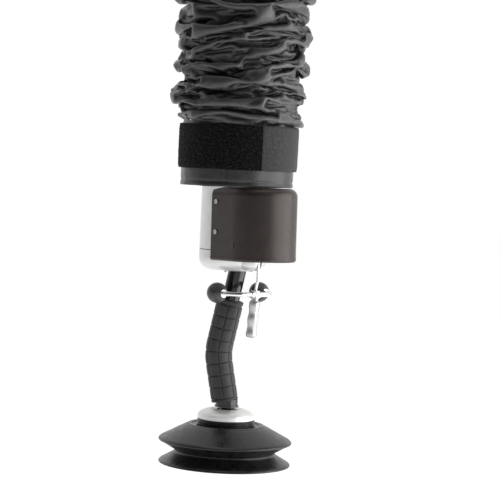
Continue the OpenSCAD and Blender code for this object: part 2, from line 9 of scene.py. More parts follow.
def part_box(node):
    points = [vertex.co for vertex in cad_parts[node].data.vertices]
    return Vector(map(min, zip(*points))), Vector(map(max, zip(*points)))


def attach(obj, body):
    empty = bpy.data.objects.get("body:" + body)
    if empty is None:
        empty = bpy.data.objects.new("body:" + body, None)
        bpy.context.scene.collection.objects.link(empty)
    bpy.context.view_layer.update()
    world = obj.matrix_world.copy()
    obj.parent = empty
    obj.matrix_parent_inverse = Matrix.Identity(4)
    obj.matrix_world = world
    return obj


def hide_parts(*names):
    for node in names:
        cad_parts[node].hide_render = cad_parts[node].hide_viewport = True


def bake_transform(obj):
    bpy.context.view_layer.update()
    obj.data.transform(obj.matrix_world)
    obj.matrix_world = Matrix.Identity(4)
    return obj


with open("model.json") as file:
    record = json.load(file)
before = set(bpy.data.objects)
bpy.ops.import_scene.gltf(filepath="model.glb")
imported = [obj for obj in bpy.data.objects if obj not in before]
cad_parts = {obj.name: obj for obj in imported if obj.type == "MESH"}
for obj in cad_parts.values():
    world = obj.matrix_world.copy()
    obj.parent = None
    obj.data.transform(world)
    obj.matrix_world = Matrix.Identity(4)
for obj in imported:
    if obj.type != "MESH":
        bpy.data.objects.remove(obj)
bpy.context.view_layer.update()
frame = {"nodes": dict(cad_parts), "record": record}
nodes = frame["nodes"]
MM = 0.001
TURN = 2 * math.pi
CUFF_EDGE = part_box("lower_cuff")[0].z  # the lower cuff's bottom edge, from which depths are measured


def level(depth):
    """The height of a depth below the lower cuff's edge, both in millimetres and metres."""
    return CUFF_EDGE - depth * MM


# ---------- Camera ----------

CAMERA_AZIMUTH = math.radians(50)
CAMERA_DISTANCE = 2.695
CAMERA_HEIGHT = -0.3724
CAMERA_TURN = math.radians(-0.488)  # how far the camera's heading is off the line to the middle axis
CAMERA_PITCH = math.radians(-2.927)
CAMERA_ROLL = math.radians(2.63)
CAMERA_LENS = 138.6


def make_camera():
    """The camera looks slightly down from the trigger's side, with a small roll."""
    heading = CAMERA_AZIMUTH + CAMERA_TURN
    flat = math.cos(CAMERA_PITCH)
    ahead = Vector((-math.sin(heading) * flat, math.cos(heading) * flat, math.sin(CAMERA_PITCH)))
    right = Vector((math.cos(heading), math.sin(heading), 0))
    up = right.cross(ahead)
    right_rolled = right * math.cos(CAMERA_ROLL) + up * math.sin(CAMERA_ROLL)
    up_rolled = up * math.cos(CAMERA_ROLL) - right * math.sin(CAMERA_ROLL)
    data = bpy.data.cameras.new("camera")
    data.lens = CAMERA_LENS
    data.sensor_width = 36
    camera = bpy.data.objects.new("camera", data)
    bpy.context.collection.objects.link(camera)
    place = Matrix.Translation((
        math.sin(CAMERA_AZIMUTH) * CAMERA_DISTANCE,
        -math.cos(CAMERA_AZIMUTH) * CAMERA_DISTANCE,
        CAMERA_HEIGHT,
    ))
    camera.matrix_world = place @ Matrix((right_rolled, up_rolled, -ahead)).transposed().to_4x4()
    bpy.context.scene.camera = camera
    return ahead, right


ahead, right = make_camera()


# ---------- Materials ----------

class Finish:
    """A Principled material whose colour, roughness and bump are added step by step."""

    def __init__(self, name, colour, roughness, metallic=0.0, **sockets):
        self.material = bpy.data.materials.new(name)
        self.material.use_nodes = True
        self.tree = self.material.node_tree
        self.shader = self.tree.nodes["Principled BSDF"]
        self.where = self.add("ShaderNodeTexCoord")
        self.normal = None
        self.shader.inputs["Base Color"].default_value = (*colour, 1)
        self.shader.inputs["Roughness"].default_value = roughness
        self.shader.inputs["Metallic"].default_value = metallic
        for socket, value in sockets.items():
            self.shader.inputs[socket.replace("_", " ")].default_value = value

    def add(self, kind, **settings):
        made = self.tree.nodes.new(kind)
        for name, value in settings.items():
            setattr(made, name, value)
        return made

    def put(self, value, socket):
        """Sets a socket to a number, or links another node's output to it."""
        if isinstance(value, bpy.types.NodeSocket):
            self.tree.links.new(value, socket)
        else:
            socket.default_value = value

    def spot(self, source, stretch):
        mapping = self.add("ShaderNodeMapping")
        self.tree.links.new(self.where.outputs[source], mapping.inputs["Vector"])
        mapping.inputs["Scale"].default_value = stretch
        return mapping.outputs["Vector"]

    def cloud(self, size, detail=2.0, rough=0.5, stretch=(1, 1, 1), source="Object"):
        """Noise with features about as large as size, in metres."""
        made = self.add("ShaderNodeTexNoise")
        self.tree.links.new(self.spot(source, stretch), made.inputs["Vector"])
        made.inputs["Scale"].default_value = 1 / size
        made.inputs["Detail"].default_value = detail
        made.inputs["Roughness"].default_value = rough
        return made.outputs["Fac"]

    def cells(self, size, stretch=(1, 1, 1), source="Object"):
        made = self.add("ShaderNodeTexVoronoi")
        self.tree.links.new(self.spot(source, stretch), made.inputs["Vector"])
        made.inputs["Scale"].default_value = 1 / size
        return made.outputs["Distance"]

    def ribs(self, pitch, axis, source="UV", wobble=0.0):
        """Sine bands across one axis, with the given pitch in metres."""
        made = self.add("ShaderNodeTexWave", bands_direction=axis)
        self.tree.links.new(self.where.outputs[source], made.inputs["Vector"])
        made.inputs["Scale"].default_value = TURN / 20 / pitch
        made.inputs["Distortion"].default_value = wobble
        return made.outputs["Fac"]

    def rings(self, pitch):
        """Turning marks round the Z axis."""
        flat = self.spot("Object", (1, 1, 0))
        length = self.add("ShaderNodeVectorMath", operation="LENGTH")
        self.tree.links.new(flat, length.inputs[0])
        return self.maths("SINE", self.maths("MULTIPLY", length.outputs["Value"], TURN / pitch), 0)

    def painted_fold_light(self):
        """Painted light and shade: high on outward folds and edges, where it paints a highlight, and low in
        creases, where it paints shade.
        """
        return self.add("ShaderNodeNewGeometry").outputs["Pointiness"]

    def maths(self, operation, a, b):
        made = self.add("ShaderNodeMath", operation=operation)
        self.put(a, made.inputs[0])
        self.put(b, made.inputs[1])
        return made.outputs[0]

    def span(self, value, low, high, to_low=0.0, to_high=1.0):
        made = self.add("ShaderNodeMapRange")
        self.put(value, made.inputs["Value"])
        limits = {"From Min": low, "From Max": high, "To Min": to_low, "To Max": to_high}
        for socket, number in limits.items():
            made.inputs[socket].default_value = number
        return made.outputs["Result"]

    def tint(self, amount, start, end):
        """Colours the base from start to end by an amount from 0 to 1."""
        made = self.add("ShaderNodeMix", data_type="RGBA")
        self.put(amount, made.inputs["Factor"])
        made.inputs[6].default_value = (*start, 1)
        made.inputs[7].default_value = (*end, 1)
        self.tree.links.new(made.outputs[2], self.shader.inputs["Base Color"])
        return self

    def gloss(self, amount, low, high):
        """Lets the roughness run from low to high."""
        self.tree.links.new(self.span(amount, 0.35, 0.65, low, high), self.shader.inputs["Roughness"])
        return self

    def bump(self, height, depth, strength=1.0):
        """Adds a bump of that depth, in metres, on top of earlier ones."""
        made = self.add("ShaderNodeBump")
        made.inputs["Distance"].default_value = depth
        made.inputs["Strength"].default_value = strength
        self.tree.links.new(height, made.inputs["Height"])
        if self.normal is not None:
            self.tree.links.new(self.normal, made.inputs["Normal"])
        self.normal = made.outputs["Normal"]
        self.tree.links.new(self.normal, self.shader.inputs["Normal"])
        return self


def grey(value, warmth=0.0):
    """A grey of that linear value, a little warm or cool."""
    return (value * (1 + warmth), value, value * (1 - warmth))


def plain_metal(name, base, roughness, spread):
    finish = Finish(name, base, roughness, metallic=1.0)
    cloud = finish.cloud(0.012, detail=4)
    finish.gloss(cloud, roughness - spread, roughness + spread)
    finish.tint(finish.span(cloud, 0.3, 0.7), tuple(c * 0.9 for c in base), base)
    finish.bump(finish.cloud(0.0011, detail=2, stretch=(1, 1, 0.2)), 0.00004)
    return finish


def make_steel():
    return plain_metal("steel", grey(0.5, 0.01), 0.4, 0.06)


def make_brass():
    return plain_metal("brass", (0.62, 0.44, 0.18), 0.32, 0.06)


def make_chrome():
    return plain_metal("chrome", grey(0.78), 0.16, 0.05)


def make_aluminium():
    finish = Finish("aluminium", grey(0.7), 0.44, metallic=0.6)
    cloud = finish.cloud(0.012, detail=4)
    finish.gloss(cloud, 0.38, 0.5)
    finish.tint(finish.span(cloud, 0.3, 0.7), grey(0.74, 0.01), grey(0.81, 0.01))
    finish.bump(finish.cloud(0.0011, detail=2, stretch=(1, 1, 0.2)), 0.00004)
    finish.bump(finish.rings(0.0009), 0.00003, 0.6)
    return finish


def make_silver_paint():
    finish = Finish("silver_paint", grey(0.6), 0.36, metallic=0.5, Coat_Weight=0.2, Coat_Roughness=0.2)
    cloud = finish.cloud(0.02, detail=3)
    finish.tint(finish.span(cloud, 0.3, 0.7), grey(0.6, 0.01), grey(0.7))
    finish.gloss(cloud, 0.3, 0.42)
    finish.bump(finish.cloud(0.0022, detail=2), 0.00008, 0.7)
    return finish


def make_black_gloss():
    finish = Finish("black_gloss", grey(0.004), 0.12)
    finish.tint(finish.span(finish.cloud(0.015, detail=4), 0.35, 0.7), grey(0.003), grey(0.006))
    finish.gloss(finish.cloud(0.01, detail=3), 0.06, 0.16)
    finish.bump(finish.cloud(0.009, detail=2), 0.0001, 0.6)
    return finish


def make_cover_plastic():
    finish = Finish("cover_plastic", grey(0.03, 0.1), 0.42, Specular_Tint=(1, 0.92, 0.89, 1))
    cloud = finish.cloud(0.03, detail=5, rough=0.6)
    finish.tint(finish.span(cloud, 0.35, 0.68), (0.0145, 0.0105, 0.0095), (0.0215, 0.016, 0.0146))
    finish.gloss(finish.cloud(0.01, detail=4), 0.34, 0.44)
    finish.bump(finish.cells(0.0012), 0.00007, 0.8)
    finish.bump(finish.cloud(0.012, detail=2), 0.0002, 0.5)
    return finish


def make_knob_plastic():
    finish = Finish("knob_plastic", grey(0.025), 0.32)
    cloud = finish.cloud(0.006, detail=4, rough=0.6)
    finish.tint(finish.span(cloud, 0.4, 0.7), grey(0.028), grey(0.06))
    finish.gloss(cloud, 0.26, 0.46)
    finish.bump(finish.cloud(0.0018, detail=3), 0.00015, 0.7)
    return finish


def make_white_plastic():
    finish = Finish("white_plastic", (0.7, 0.69, 0.64), 0.45)
    finish.tint(finish.span(finish.cloud(0.01), 0.3, 0.7), (0.66, 0.65, 0.6), (0.72, 0.71, 0.67))
    finish.bump(finish.cloud(0.001), 0.00004)
    return finish


def rubber(name, dark, light, roughness, grain):
    finish = Finish(name, dark, roughness, Specular_IOR_Level=0.42)
    cloud = finish.cloud(0.011, detail=6, rough=0.65)
    finish.tint(finish.span(cloud, 0.4, 0.66), dark, light)
    finish.gloss(cloud, roughness - 0.06, roughness + 0.08)
    finish.bump(finish.cloud(grain, detail=4, rough=0.6), grain * 0.1, 0.7)
    return finish


def make_black_rubber():
    return rubber("black_rubber", grey(0.012), grey(0.02), 0.6, 0.001)


def make_cup_rubber():
    finish = rubber("cup_rubber", grey(0.0025), grey(0.011), 0.32, 0.0016)
    finish.bump(finish.cloud(0.014, detail=3), 0.0004, 0.5)
    return finish


def make_grip_rubber():
    finish = rubber("grip_rubber", grey(0.024), grey(0.038), 0.56, 0.0008)
    return finish


def make_coated_fabric():
    finish = Finish("coated_fabric", grey(0.03), 0.4, Specular_IOR_Level=0.5)
    cloud = finish.span(finish.cloud(0.03, detail=6, rough=0.6), 0.35, 0.68, 0.0, 0.2)
    # painted highlights along the fold edges and painted shade in the creases, mixed into the cloth's colour
    fold_highlight_and_crease_shade = finish.span(finish.painted_fold_light(), 0.49, 0.56, 0.0, 0.8)
    finish.tint(finish.maths("ADD", cloud, fold_highlight_and_crease_shade), (0.006, 0.006, 0.0064), (0.062, 0.062, 0.064))
    finish.gloss(finish.cloud(0.012, detail=4), 0.26, 0.38)
    weave = finish.maths("MULTIPLY", finish.ribs(0.0011, "X"), finish.ribs(0.0011, "Y"))
    finish.bump(weave, 0.00006, 0.8)
    finish.bump(finish.cloud(0.009, detail=4, rough=0.6), 0.0007, 0.55)
    return finish


def make_loop_fabric():
    finish = Finish("loop_fabric", grey(0.006), 0.95, Specular_IOR_Level=0.07, Sheen_Weight=0.06)
    tufts = finish.cells(0.0021, source="UV")
    mottle = finish.cloud(0.0045, detail=4, rough=0.75, source="UV")
    loops = finish.maths("MULTIPLY", mottle, finish.span(tufts, 0.1, 0.8, 1.1, 0.7))
    finish.tint(finish.span(loops, 0.4, 0.62), grey(0.0012, 0.05), grey(0.02, 0.05))
    finish.bump(tufts, 0.0006, 0.9)
    finish.bump(mottle, 0.0012, 0.9)
    return finish


def make_webbing():
    finish = Finish("webbing", grey(0.08), 0.72, Specular_IOR_Level=0.25, Sheen_Weight=0.08)
    across = finish.ribs(0.0021, "Y", wobble=0.35)
    along = finish.ribs(0.0017, "X", wobble=0.35)
    weave = finish.maths("MULTIPLY", across, along)
    mottle = finish.cloud(0.006, detail=4, rough=0.7, source="UV")
    finish.tint(finish.span(finish.maths("ADD", weave, mottle), 0.42, 1.1), grey(0.008), grey(0.055))
    finish.bump(weave, 0.0003, 0.8)
    finish.bump(mottle, 0.0004, 0.6)
    return finish


FINISHES = {
    "steel": make_steel, "aluminium": make_aluminium, "silver_paint": make_silver_paint,
    "black_gloss": make_black_gloss, "chrome": make_chrome, "brass": make_brass,
    "cover_plastic": make_cover_plastic, "knob_plastic": make_knob_plastic,
    "white_plastic": make_white_plastic, "black_rubber": make_black_rubber,
    "cup_rubber": make_cup_rubber, "grip_rubber": make_grip_rubber,
    "coated_fabric": make_coated_fabric, "loop_fabric": make_loop_fabric, "webbing": make_webbing,
}
materials = {slot: make().material for slot, make in FINISHES.items()}


def finish_cad_nodes():
    """Gives every CAD node its slot's material."""
    for part in frame["record"]["subparts"]:
        cad = nodes[part["node"]]
        for held in cad.material_slots:
            held.material = materials[part["material_slot"]]
        if not cad.material_slots:
            cad.data.materials.append(materials[part["material_slot"]])


finish_cad_nodes()


# ---------- Mesh helpers ----------

def piece(name, verts, faces, slot, uvs=None):
    """A new smooth mesh object that wears a slot's material."""
    mesh = bpy.data.meshes.new(name)
    mesh.from_pydata([tuple(v) for v in verts], [], faces)
    if uvs is not None:
        layer = mesh.uv_layers.new(name="flat")
        for loop in mesh.polygons:
            for corner, index in enumerate(loop.loop_indices):
                layer.data[index].uv = uvs[loop.index][corner]
    for face in mesh.polygons:
        face.use_smooth = True
    mesh.materials.append(materials[slot])
    made = bpy.data.objects.new(name, mesh)
    bpy.context.collection.objects.link(made)
    return made


def grid(rows, loop_across, loop_along=False, flat=(1.0, 1.0), caps=False):
    """Faces and UVs for equal rows of points. Points close round each row if loop_across, and the last row
    joins the first if loop_along. UVs run over flat, (row's length, length over the rows), in metres."""
    many, wide = len(rows), len(rows[0])
    verts = [point for row in rows for point in row]
    faces, uvs = [], []
    for j in range(many if loop_along else many - 1):
        after = (j + 1) % many
        for i in range(wide if loop_across else wide - 1):
            beside = (i + 1) % wide
            faces.append((j * wide + i, j * wide + beside, after * wide + beside, after * wide + i))
            u0, u1 = flat[0] * i / wide, flat[0] * (i + 1) / wide
            v0, v1 = flat[1] * j / many, flat[1] * (j + 1) / many
            uvs.append(((u0, v0), (u1, v0), (u1, v1), (u0, v1)))
    if caps:
        for ring in (range(wide - 1, -1, -1), range((many - 1) * wide, many * wide)):
            faces.append(tuple(ring))
            uvs.append([(0.0, 0.0)] * wide)
    return verts, faces, uvs


def soften(points, radii, closed, steps=5):
    """Rounds the corners of a polyline. Each corner is cut by its radius, as far as its sides allow."""
    out = []
    last = len(points) - 1
    for k, point in enumerate(points):
        corner = Vector(point)
        cut = radii[k] if isinstance(radii, (list, tuple)) else radii
        if cut <= 0 or (not closed and k in (0, last)):
            out.append(corner)
            continue
        before = Vector(points[k - 1]) - corner
        after = Vector(points[(k + 1) % len(points)]) - corner
        cut = min(cut, before.length * 0.45, after.length * 0.45)
        start, end = corner + before.normalized() * cut, corner + after.normalized() * cut
        for s in range(steps + 1):
            t = s / steps
            out.append(start * (1 - t) ** 2 + corner * 2 * t * (1 - t) + end * t ** 2)
    return out


def lathe(name, profile, slot, segments=160, wobble=None):
    """Turns a closed profile of (radius, height) round Z. The profile runs clockwise in the XZ plane."""
    rows = []
    for i in range(segments):
        turn = TURN * i / segments
        row = []
        for r, z in profile:
            more = wobble(turn, r, z) if wobble else (0, 0)
            row.append(((r + more[0]) * math.cos(turn), (r + more[0]) * math.sin(turn), z + more[1]))
        rows.append(row)
    length = sum((Vector(a) - Vector(b)).length for a, b in zip(profile, profile[1:]))
    widest = max(r for r, z in profile)
    verts, faces, uvs = grid(rows, True, True, (length, TURN * widest))
    return piece(name, verts, faces, slot, uvs)


# ---------- Gathered sleeve ----------

SLEEVE_FLAT = 0.50  # the sleeve's cut length
SLEEVE_R = 0.098
SLEEVE_END_R = 0.0792
SLEEVE_NARROWER = 0.009  # how much less the radius is just above the lower strap
SLEEVE_AROUND = 112
SLEEVE_ALONG = 96
STRAP_KEEP_OUT = 0.0846
HOSE_KEEP_OUT = 0.074
WAVE_HEIGHT = 0.005
SLEEVE_WEIGHT = 0.045  # the share of gravity that sags the folds, as the coated cloth is stiff
SHELF_R = 0.125  # of the wide plates that the folds press against at both ends
SHELF_TILT = math.radians(2.5)
SIM_FRAMES = 50
SETTLE_FRAMES = 6


def sleeve_start():
    """The sleeve at its full length, with smooth random waves that decide where folds begin."""
    draw = np.random.default_rng(3)
    waves = [
        (
            draw.integers(1, 7), draw.integers(2, 16),
            draw.uniform(0, TURN), draw.uniform(0, TURN), draw.normal(),
        )
        for _ in range(40)
    ]
    rows = []
    for j in range(SLEEVE_ALONG + 1):
        t = j / SLEEVE_ALONG
        from_end = min(t, 1 - t) * SLEEVE_FLAT
        full = 1 - math.exp(-(from_end / 0.012) ** 2)
        here = SLEEVE_R - SLEEVE_NARROWER * math.exp(-(t * SLEEVE_FLAT / 0.08) ** 2)
        row = []
        for i in range(SLEEVE_AROUND):
            turn = TURN * i / SLEEVE_AROUND
            wave = sum(
                size * math.sin(around * turn + a) * math.sin(math.pi * along * t + b)
                for around, along, a, b, size in waves
            ) / 6
            r = SLEEVE_END_R + (here - SLEEVE_END_R + WAVE_HEIGHT * wave) * full
            row.append((r * math.cos(turn), r * math.sin(turn), SLEEVE_FLAT * t))
        rows.append(row)
    return rows


def collider(radius, depth, z):
    """A cylinder that the sleeve can't enter."""
    bpy.ops.mesh.primitive_cylinder_add(vertices=64, radius=radius, depth=depth, location=(0, 0, z))
    made = bpy.context.object
    made.modifiers.new("collision", "COLLISION")
    made.collision.thickness_outer = 0.001
    made.collision.cloth_friction = 5
    return made


def simulate_sleeve(rows, height):
    """Pushes the sleeve's end rings together until it is height long, and returns its folded points."""
    verts, faces, _ = grid(rows, True)
    mesh = bpy.data.meshes.new("sleeve_sim")
    mesh.from_pydata(verts, [], faces)
    sim = bpy.data.objects.new("sleeve_sim", mesh)
    bpy.context.collection.objects.link(sim)
    pinned = sim.vertex_groups.new(name="pin")
    end_rings = (range(SLEEVE_AROUND), range(len(verts) - SLEEVE_AROUND, len(verts)))
    pinned.add([index for ring in end_rings for index in ring], 1.0, "REPLACE")
    sim.shape_key_add(name="Basis")
    short = sim.shape_key_add(name="short")
    for index, (x, y, z) in enumerate(verts):
        short.data[index].co = (x, y, z * height / SLEEVE_FLAT)
    for value, at in ((0, 1), (1, SIM_FRAMES)):
        short.value = value
        short.keyframe_insert("value", frame=at)
    inner = collider(HOSE_KEEP_OUT, SLEEVE_FLAT + 0.1, SLEEVE_FLAT / 2)
    below = [collider(STRAP_KEEP_OUT, 0.08, -0.0415), collider(SHELF_R, 0.02, -0.0135)]
    above = [collider(STRAP_KEEP_OUT, 0.08, 0.0415), collider(SHELF_R, 0.02, 0.0135)]
    for shelf in (below[1], above[1]):
        shelf.rotation_euler = Matrix.Rotation(SHELF_TILT, 3, Vector((ahead.x, ahead.y, 0))).to_euler()
    for stop in above:
        gap = stop.location.z
        for z, at in ((SLEEVE_FLAT + gap, 1), (height + gap, SIM_FRAMES)):
            stop.location.z = z
            stop.keyframe_insert("location", frame=at)
    for action in bpy.data.actions:
        for curve in action.fcurves:
            for key in curve.keyframe_points:
                key.interpolation = "LINEAR"
    cloth = sim.modifiers.new("cloth", "CLOTH")
    fabric = cloth.settings
    fabric.quality = 6
    fabric.mass = 0.25
    fabric.tension_stiffness = fabric.compression_stiffness = 15
    fabric.shear_stiffness = 5
    fabric.bending_model = "ANGULAR"
    fabric.bending_stiffness = 1.2
    fabric.tension_damping = fabric.compression_damping = fabric.shear_damping = 5
    fabric.bending_damping = 0.5
    fabric.air_damping = 1
    fabric.vertex_group_mass = "pin"
    fabric.effector_weights.gravity = SLEEVE_WEIGHT
    touch = cloth.collision_settings
    touch.collision_quality = 3
    touch.distance_min = 0.0015
    touch.use_self_collision = True
    touch.self_distance_min = 0.0018
    touch.self_friction = touch.friction = 5
    cloth.point_cache.frame_start = 1
    cloth.point_cache.frame_end = SIM_FRAMES + SETTLE_FRAMES
    scene = bpy.context.scene
    scene.frame_start, scene.frame_end = 1, SIM_FRAMES + SETTLE_FRAMES
    for step in range(1, SIM_FRAMES + SETTLE_FRAMES + 1):
        scene.frame_set(step)
    folded = sim.evaluated_get(bpy.context.evaluated_depsgraph_get())
    points = [tuple(v.co) for v in folded.data.vertices]
    for used in (sim, inner, *below, *above):
        bpy.data.objects.remove(used)
    for action in list(bpy.data.actions):
        bpy.data.actions.remove(action)
    scene.frame_set(1)
    return points


def make_sleeve():
    low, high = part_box("dust_sleeve")
    height = high.z - low.z
    rows = sleeve_start()
    points = simulate_sleeve(rows, height)
    _, faces, uvs = grid(rows, True, flat=(TURN * SLEEVE_R, SLEEVE_FLAT))
    sleeve = piece("gathered_sleeve", [(x, y, z + low.z) for x, y, z in points], faces, "coated_fabric", uvs)
    finer = sleeve.modifiers.new("finer", "SUBSURF")
    finer.levels = finer.render_levels = 1
    bake_modifiers(sleeve)
    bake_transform(sleeve)
    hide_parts("dust_sleeve")
    return sleeve


def bake_modifiers(made):
    """Keeps the modified mesh, so that what follows works on the final points."""
    graph = bpy.context.evaluated_depsgraph_get()
    final = bpy.data.meshes.new_from_object(made.evaluated_get(graph), depsgraph=graph)
    final.name = made.name
    made.modifiers.clear()
    made.data = final


# ---------- Cuffs and straps ----------

CUFF_R = 0.0785
CUFF_T = 0.0014
STRAP_R = 0.0833
HEM_DROP = 0.0015
HEM_TILT = 0.0008
TAB_START = math.radians(-16.2)
TAB_END = math.radians(75)


def make_cuff(which, body, seam):
    """A cuff of coated cloth: slightly uneven, with a turned hem and one overlapped side seam."""
    low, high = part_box(which + "_cuff")
    hem = low.z if which == "lower" else high.z
    inward = 1 if which == "lower" else -1
    length = high.z - low.z
    outer, inner = [], []
    steps = 34
    for k in range(steps + 1):
        s = (k / steps) ** 1.6 * length
        roll = 0.0007 * math.exp(-((s - 0.0022) / 0.0022) ** 2)
        stitch = 0.0006 * math.exp(-((s - 0.0068) / 0.0012) ** 2)
        outer.append((CUFF_R + (roll - stitch), hem + inward * s))
        inner.append((CUFF_R - CUFF_T, hem + inward * s))
    profile = soften(outer + inner[::-1], 0.0005, True, 2)

    def wobble(turn, r, z):
        near_hem = math.exp(-abs(z - hem) / 0.02)
        point = Vector((math.cos(turn), math.sin(turn), z * 9))
        ripple = 0.0009 * noise.noise(point * 2.2) + 0.0005 * noise.noise(point * 5.1)
        past = (turn - seam + math.pi) % TURN - math.pi
        overlap = 0.0008 * max(0.0, min(1.0, 0.5 + past / 0.012)) * math.exp(-max(past, 0) / 0.22)
        edge = inward * 0.0011 * noise.noise(Vector((math.cos(turn) * 2.4, math.sin(turn) * 2.4, 3.0)))
        if which == "lower":
            edge -= HEM_DROP - HEM_TILT * (right.x * math.cos(turn) + right.y * math.sin(turn))
        drop = edge * near_hem if abs(z - hem) < length * 0.5 else 0
        return (ripple * (0.3 + near_hem) * 0.7 + (overlap if r > CUFF_R - CUFF_T / 2 else 0), drop)

    cuff = lathe(which + "_cuff_cloth", profile, "coated_fabric", 220, wobble)
    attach(cuff, body)
    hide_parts(which + "_cuff")
    return cuff


def strap_section(width, thick, steps):
    """Closed outline of a strap, as (how far out, how high): over the outside, and back inside."""
    outer = [(thick - 0.0011 * abs(2 * k / steps - 1) ** 12, width * k / steps) for k in range(steps + 1)]
    inner = [(0.0, width * (1 - k / 10)) for k in range(11)]
    return soften(outer + inner, [0.0] * (steps + 1) + [0.0] * 11, True, 1)


def make_strap(name, node, body, slot, start, end, r_out, relief, tuft):
    """A strap that lies round its cuff. Its outside is roughened by relief, in lumps of the tuft's size."""
    low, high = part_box(node)
    inner_r = CUFF_R + 0.0003
    arc = (end - start) * r_out
    steps = int(arc / 0.0016)
    width = high.z - low.z
    section = strap_section(width, r_out - inner_r, 40)
    rows = []
    for i in range(steps + 1):
        turn = start + (end - start) * i / steps
        row = []
        for out, up in section:
            z = low.z + up
            spot = Vector((turn * r_out, z, 7.0)) / tuft
            rough = relief * noise.noise(spot) if out > 0.001 else 0
            across = Vector((math.cos(turn) * 2, math.sin(turn) * 2, up / width))
            sway = 0.0006 * noise.noise(across) * (out > 0.001)
            edge = 0.0007 * noise.noise(Vector((math.cos(turn) * 3, math.sin(turn) * 3, 9.0)))
            if abs(up - width / 2) < width * 0.45:
                edge = 0
            r = inner_r + out + rough + sway
            row.append((r * math.cos(turn), r * math.sin(turn), z + edge))
        rows.append(row)
    verts, faces, uvs = grid(rows, True, False, (2 * width, arc), caps=True)
    strap = piece(name, verts, faces, slot, uvs)
    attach(strap, body)
    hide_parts(node)
    return strap


def make_cuffs_and_straps():
    for which, body in (("upper", "tube_top"), ("lower", "operator")):
        make_cuff(which, body, math.radians(-52))
        make_strap(
            which + "_strap_loop", which + "_strap", body, "loop_fabric",
            TAB_END, TAB_START + TURN, STRAP_R - 0.0002, 0.0009, 0.0035,
        )
        make_strap(
            which + "_strap_webbing", which + "_strap_tab", body, "webbing",
            TAB_START - 0.012, TAB_END + 0.012, STRAP_R + 0.0004, 0.0002, 0.006,
        )


# ---------- Lift hose inside the sleeve ----------

def make_lift_hose():
    """A thin ribbed hose and the wire that holds it open, both hidden inside the sleeve."""
    low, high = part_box("lift_hose")
    r = high.x
    ribs = 16
    steps = ribs * 8
    outer = [
        (r - 0.0012 * (1 - math.cos(TURN * ribs * k / steps)) / 2, low.z + (high.z - low.z) * k / steps)
        for k in range(steps + 1)
    ]
    inner = [(a - 0.0008, z) for a, z in outer[::-1]]
    hose = lathe("ribbed_lift_hose", outer + inner, "coated_fabric", 72)
    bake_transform(hose)
    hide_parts("lift_hose")
    low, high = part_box("hose_spring")
    wire_r = 0.0014
    coil_r = high.x - wire_r
    rows = []
    turns = 16
    for i in range(turns * 32 + 1):
        turn = TURN * i / 32
        centre = Vector((coil_r * math.cos(turn), coil_r * math.sin(turn), 0))
        centre.z = low.z + wire_r + (high.z - low.z - 2 * wire_r) * i / (turns * 32)
        out = Vector((math.cos(turn), math.sin(turn), 0))
        ring = [TURN * k / 8 for k in range(8)]
        rows.append([centre + wire_r * (out * math.cos(a) + Vector((0, 0, math.sin(a)))) for a in ring])
    verts, faces, uvs = grid(rows, True, False, (TURN * wire_r, turns * TURN * coil_r), caps=True)
    spring = piece("hose_spring_wire", verts, faces, "steel", uvs)
    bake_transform(spring)
    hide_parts("hose_spring")


# ---------- Grip ----------

HANDLE_LEAN = math.radians(11.1)
HANDLE_TURN = Matrix.Rotation(math.radians(38), 3, "Z")
VERTEX_X = -0.016
VERTEX_DEPTH = 237.1
BEND_R = 0.078
TUBE_R = 0.0125
TUBE_TOP = 101
TUBE_BOTTOM = 301
GRIP_R = 0.019
GRIP_TOP = 161
GRIP_BOTTOM = 304
GRIP_GROOVES = 7
RING_PITCH = 0.01675
FIRST_RING = 0.0072


def handle_path(s):
    """The point and direction s metres down the handle's centre line from the middle of its bend."""
    half_arc = BEND_R * HANDLE_LEAN
    centre = Vector((VERTEX_X + BEND_R / math.cos(HANDLE_LEAN), 0, level(VERTEX_DEPTH)))
    angle = max(-HANDLE_LEAN, min(HANDLE_LEAN, s / BEND_R))
    point = centre + BEND_R * Vector((-math.cos(angle), 0, -math.sin(angle)))
    along = Vector((math.sin(angle), 0, -math.cos(angle)))
    past = s - max(-half_arc, min(half_arc, s))
    return HANDLE_TURN @ (point + along * past), HANDLE_TURN @ along


def along_handle(depth):
    """How far along the handle a depth lies, from the bend's middle."""
    straight = (abs(depth - VERTEX_DEPTH) * MM / math.cos(HANDLE_LEAN) - BEND_R * math.tan(HANDLE_LEAN))
    return math.copysign(BEND_R * HANDLE_LEAN + straight, depth - VERTEX_DEPTH)


def handle_ring(s, turns, radii):
    """Points round the handle at s, each at its own angle and radius."""
    point, along = handle_path(s)
    side = HANDLE_TURN @ Vector((0, 1, 0))
    front = side.cross(along)
    return [point + r * (front * math.cos(turn) + side * math.sin(turn)) for turn, r in zip(turns, radii)]


def groove_stops(count, fine):
    """Positions from 0 to count, crowded about each whole number, where a groove lies."""
    within = [0.0, 0.028, 0.05, 0.1] + [0.1 + 0.8 * k / fine for k in range(1, fine)] + [0.9, 0.95, 0.972]
    return [c + w for c in range(count) for w in within]


def groove_depth(position):
    off = abs(position - round(position))
    return 0.0011 * max(0.0, 1 - (off / 0.05) ** 2)


def make_tube():
    """The gloss black tube from the bowl to the end piece, most of it inside the grip."""
    top, bottom = along_handle(TUBE_TOP), along_handle(TUBE_BOTTOM)
    turns = [TURN * k / 64 for k in range(64)]
    steps = 60
    rows = [handle_ring(top + (bottom - top) * k / steps, turns, [TUBE_R] * 64) for k in range(steps + 1)]
    verts, faces, uvs = grid(rows, True, False, (TURN * TUBE_R, bottom - top), caps=True)
    faces, uvs = [face[::-1] for face in faces], [uv[::-1] for uv in uvs]
    tube = piece("bent_tube", verts, faces, "black_gloss", uvs)
    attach(tube, "operator")
    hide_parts("handle_tube")


